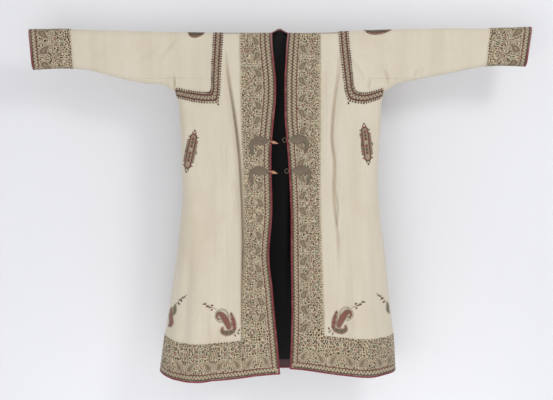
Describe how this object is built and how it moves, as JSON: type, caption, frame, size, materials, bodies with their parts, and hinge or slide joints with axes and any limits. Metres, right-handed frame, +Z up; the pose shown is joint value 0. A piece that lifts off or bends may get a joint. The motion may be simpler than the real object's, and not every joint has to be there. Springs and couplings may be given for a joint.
{
  "type": "uzbek chapan robe",
  "caption": "Open cream wool robe of chapan cut with straight sleeves, wide paisley borders on fronts, hem and cuffs, crimson piping, braid clasps and a black lining",
  "frame": {"origin": "on the shoulder line at the middle of the neck, where the robe is held up", "axes": "the fronts face -Y, +X is to the right of someone looking at them, along the sleeves, and +Z is up"},
  "size_m": [1.743, 0.2729, 1.2122],
  "materials": {
    "wool": "cream wool twill",
    "border": "fine shawl-weave and needlework border",
    "piping": "crimson silk piping",
    "lining": "black silk lining",
    "facing": "dark red silk facing",
    "braid": "tarnished metal-thread braid",
    "toggle": "faded pink silk cord knot"
  },
  "bodies": {
    "root": {"front_left": "wool", "front_right": "wool", "back": "wool", "sleeve_left": "wool", "sleeve_right": "wool", "gore_front_left": "wool", "gore_front_right": "wool", "gore_back_left": "wool", "gore_back_right": "wool", "border_front_left": "border", "border_front_right": "border", "border_hem_left": "border", "border_hem_right": "border", "border_hem_back": "border", "border_cuff_left": "border", "border_cuff_right": "border", "band_front_left": "border", "band_front_right": "border", "band_back_left": "border", "band_back_right": "border", "piping_front_left": "piping", "piping_front_right": "piping", "piping_hem_back": "piping", "piping_cuff_left": "piping", "piping_cuff_right": "piping", "binding_neck": "piping", "lining_back": "lining", "facing_back": "facing", "clasp_upper_left": "braid", "clasp_upper_right": "braid", "clasp_lower_left": "braid", "clasp_lower_right": "braid", "toggle_upper": "toggle", "toggle_lower": "toggle", "loop_upper": "braid", "loop_lower": "braid"}
  },
  "joints": []
}
